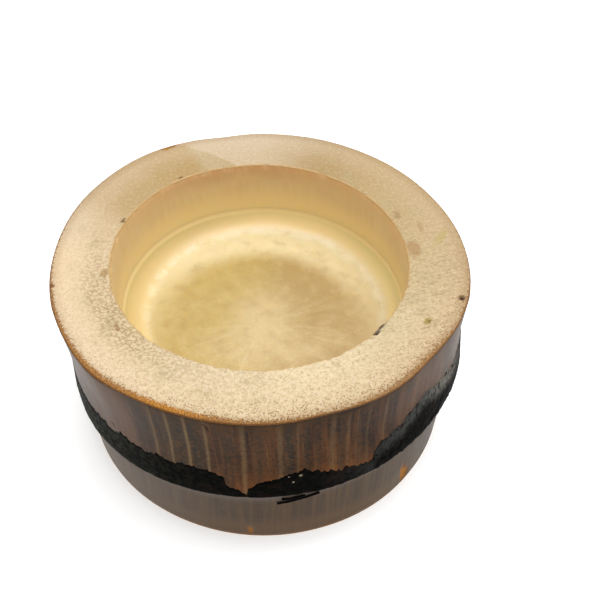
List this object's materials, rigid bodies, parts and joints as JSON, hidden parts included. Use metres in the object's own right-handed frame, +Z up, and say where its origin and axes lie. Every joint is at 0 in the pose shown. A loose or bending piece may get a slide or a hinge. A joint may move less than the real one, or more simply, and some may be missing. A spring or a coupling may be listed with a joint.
{
  "type": "rosin cake",
  "caption": "Rosin cake cast in a shallow cup sawn from a bamboo node, with a varnished brown skin and a black ragged crust of dried sheath along the node.",
  "frame": {"origin": "centre of the bounding box's base: the cup stands on z = 0", "axes": "+Z up along the culm, out of the cup's mouth; -Y towards the bare notch in the sheath crust, which is the side the viewer sees; +X to the viewer's right"},
  "size_m": [0.0766, 0.0768, 0.0368],
  "materials": {
    "bamboo": "varnished mottled brown skin outside, bare pale sawn rim, satin golden bore",
    "rosin": "glossy translucent gold",
    "sheath": "rough black crust, glossy in places under the varnish"
  },
  "bodies": {
    "root": {"bamboo_cup": "bamboo", "rosin_cake": "rosin", "sheath_crust_left": "sheath", "sheath_crust_right": "sheath", "sheath_fibre_upper": "sheath", "sheath_fibre_lower": "sheath"}
  },
  "joints": []
}
